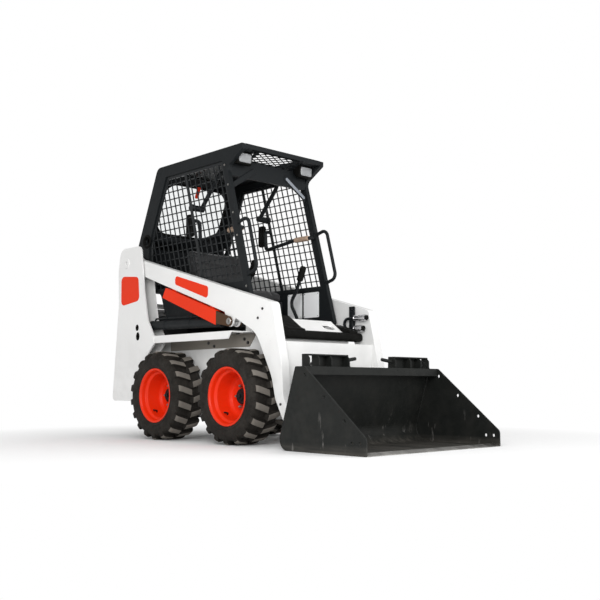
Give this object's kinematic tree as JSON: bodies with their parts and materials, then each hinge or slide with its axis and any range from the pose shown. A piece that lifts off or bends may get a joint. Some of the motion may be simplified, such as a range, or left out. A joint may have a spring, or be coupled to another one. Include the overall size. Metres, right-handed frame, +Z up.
{
  "type": "skid steer loader",
  "caption": "Compact skid steer loader: open-front cab with mesh side screens, lift arms on rear uprights, tilting bucket and lugged wheels.",
  "frame": {"origin": "centre of the machine's plan outline on the ground, wheels down, arms down and bucket flat", "axes": "+X forward towards the bucket, +Y to the operator's left, +Z up"},
  "size_m": [2.515, 1.118, 1.814],
  "materials": {
    "white_paint": "gloss",
    "black_paint": "satin",
    "red_paint": "satin",
    "rim_paint": "gloss",
    "worn_steel": "worn",
    "bright_steel": "polished",
    "tyre": "matt",
    "black_rubber": "matt",
    "vinyl": "matt",
    "lamp_lens": "gloss",
    "red_lens": "gloss",
    "clear_glass": "gloss"
  },
  "bodies": {
    "chassis": {"main_frame": "white_paint", "fenders": "white_paint", "upright_right": "white_paint", "upright_left": "white_paint", "axle_tubes": "black_paint", "engine": "black_paint", "rear_grille": "white_paint", "step": "black_rubber", "control_levers": "black_paint", "tail_lamps": "red_lens"},
    "cab": {"cab_side_right": "black_paint", "cab_side_left": "black_paint", "cab_rear": "black_paint", "rear_window": "clear_glass", "cab_roof": "black_paint", "roof_screen": "black_paint", "cab_header": "black_paint", "side_screens": "black_paint", "work_lights": "lamp_lens", "grab_handles": "black_paint", "armrest_rails": "black_paint", "seat_base": "black_paint", "seat_cushion": "vinyl", "seat_back": "vinyl"},
    "seat_bar": {"seat_bar": "black_paint"},
    "lift_arms": {"arm_right": "white_paint", "arm_left": "white_paint", "arm_crossmember": "white_paint", "arm_prop": "red_paint", "couplers": "bright_steel"},
    "bucket": {"attach_plate": "black_paint", "attach_levers": "black_paint", "bucket_shell": "black_paint", "bucket_sides": "black_paint", "bucket_brackets": "black_paint", "cutting_edge": "worn_steel"},
    "lift_barrel_right": {"lift_barrel_right": "black_paint"},
    "lift_rod_right": {"lift_rod_right": "bright_steel"},
    "lift_barrel_left": {"lift_barrel_left": "black_paint"},
    "lift_rod_left": {"lift_rod_left": "bright_steel"},
    "tilt_barrel": {"tilt_barrel": "black_paint"},
    "tilt_rod": {"tilt_rod": "bright_steel"},
    "rear_door": {"rear_door": "white_paint"},
    "wheel_front_right": {"tyre_front_right": "tyre", "rim_front_right": "rim_paint"},
    "wheel_front_left": {"tyre_front_left": "tyre", "rim_front_left": "rim_paint"},
    "wheel_rear_right": {"tyre_rear_right": "tyre", "rim_rear_right": "rim_paint"},
    "wheel_rear_left": {"tyre_rear_left": "tyre", "rim_rear_left": "rim_paint"}
  },
  "joints": [
    {"name": "wheel_front_right_spin", "type": "hinge", "parent": "chassis", "child": "wheel_front_right", "pos_m": [0.1395, -0.42, 0.278], "axis": [0, 1, 0], "continuous": true},
    {"name": "wheel_front_left_spin", "type": "hinge", "parent": "chassis", "child": "wheel_front_left", "pos_m": [0.1395, 0.42, 0.278], "axis": [0, 1, 0], "continuous": true},
    {"name": "wheel_rear_right_spin", "type": "hinge", "parent": "chassis", "child": "wheel_rear_right", "pos_m": [-0.5845, -0.42, 0.278], "axis": [0, 1, 0], "continuous": true},
    {"name": "wheel_rear_left_spin", "type": "hinge", "parent": "chassis", "child": "wheel_rear_left", "pos_m": [-0.5845, 0.42, 0.278], "axis": [0, 1, 0], "continuous": true},
    {"name": "lift", "type": "hinge", "parent": "chassis", "child": "lift_arms", "pos_m": [-1.0375, 0, 1.17], "axis": [0, -1, 0], "range_deg": [0, 69]},
    {"name": "bucket_tilt", "type": "hinge", "parent": "lift_arms", "child": "bucket", "pos_m": [0.5775, 0, 0.14], "axis": [0, 1, 0], "range_deg": [-25, 109]},
    {"name": "cab_tilt", "type": "hinge", "parent": "chassis", "child": "cab", "pos_m": [-1.0225, 0, 1], "axis": [0, -1, 0], "range_deg": [0, 40]},
    {"name": "seat_bar_lower", "type": "hinge", "parent": "cab", "child": "seat_bar", "pos_m": [-0.4655, 0, 1.49], "axis": [0, 1, 0], "range_deg": [0, 105]},
    {"name": "rear_door_open", "type": "hinge", "parent": "chassis", "child": "rear_door", "pos_m": [-1.2075, 0.385, 0.57], "axis": [0, 0, -1], "range_deg": [0, 100]},
    {"name": "tilt_barrel_swing", "type": "hinge", "parent": "lift_arms", "child": "tilt_barrel", "pos_m": [0.3875, 0, 0.5], "axis": [0, 1, 0], "range_deg": [-2.28, 8.25]},
    {"name": "tilt_rod_slide", "type": "slide", "parent": "tilt_barrel", "child": "tilt_rod", "axis": [0.6441, 0, -0.7649], "range_m": [-0.03702, 0.15469]},
    {"name": "lift_barrel_right_swing", "type": "hinge", "parent": "chassis", "child": "lift_barrel_right", "pos_m": [-0.8225, -0.401, 0.735], "axis": [0, -1, 0], "range_deg": [-0.5, 66.78]},
    {"name": "lift_rod_right_slide", "type": "slide", "parent": "lift_barrel_right", "child": "lift_rod_right", "axis": [0.9998, 0, -0.0192], "range_m": [-0.002, 0.54908]},
    {"name": "lift_barrel_left_swing", "type": "hinge", "parent": "chassis", "child": "lift_barrel_left", "pos_m": [-0.8225, 0.401, 0.735], "axis": [0, -1, 0], "range_deg": [-0.5, 66.78]},
    {"name": "lift_rod_left_slide", "type": "slide", "parent": "lift_barrel_left", "child": "lift_rod_left", "axis": [0.9998, 0, -0.0192], "range_m": [-0.002, 0.54908]}
  ],
  "couplings": [
    {"joint": "tilt_barrel_swing", "follows": "bucket_tilt", "ratio": 0.071073},
    {"joint": "tilt_rod_slide", "follows": "bucket_tilt", "m_per_rad": 0.08026},
    {"joint": "lift_barrel_right_swing", "follows": "lift", "ratio": 0.9606},
    {"joint": "lift_rod_right_slide", "follows": "lift", "m_per_rad": 0.45428},
    {"joint": "lift_barrel_left_swing", "follows": "lift", "ratio": 0.9606},
    {"joint": "lift_rod_left_slide", "follows": "lift", "m_per_rad": 0.45428}
  ]
}
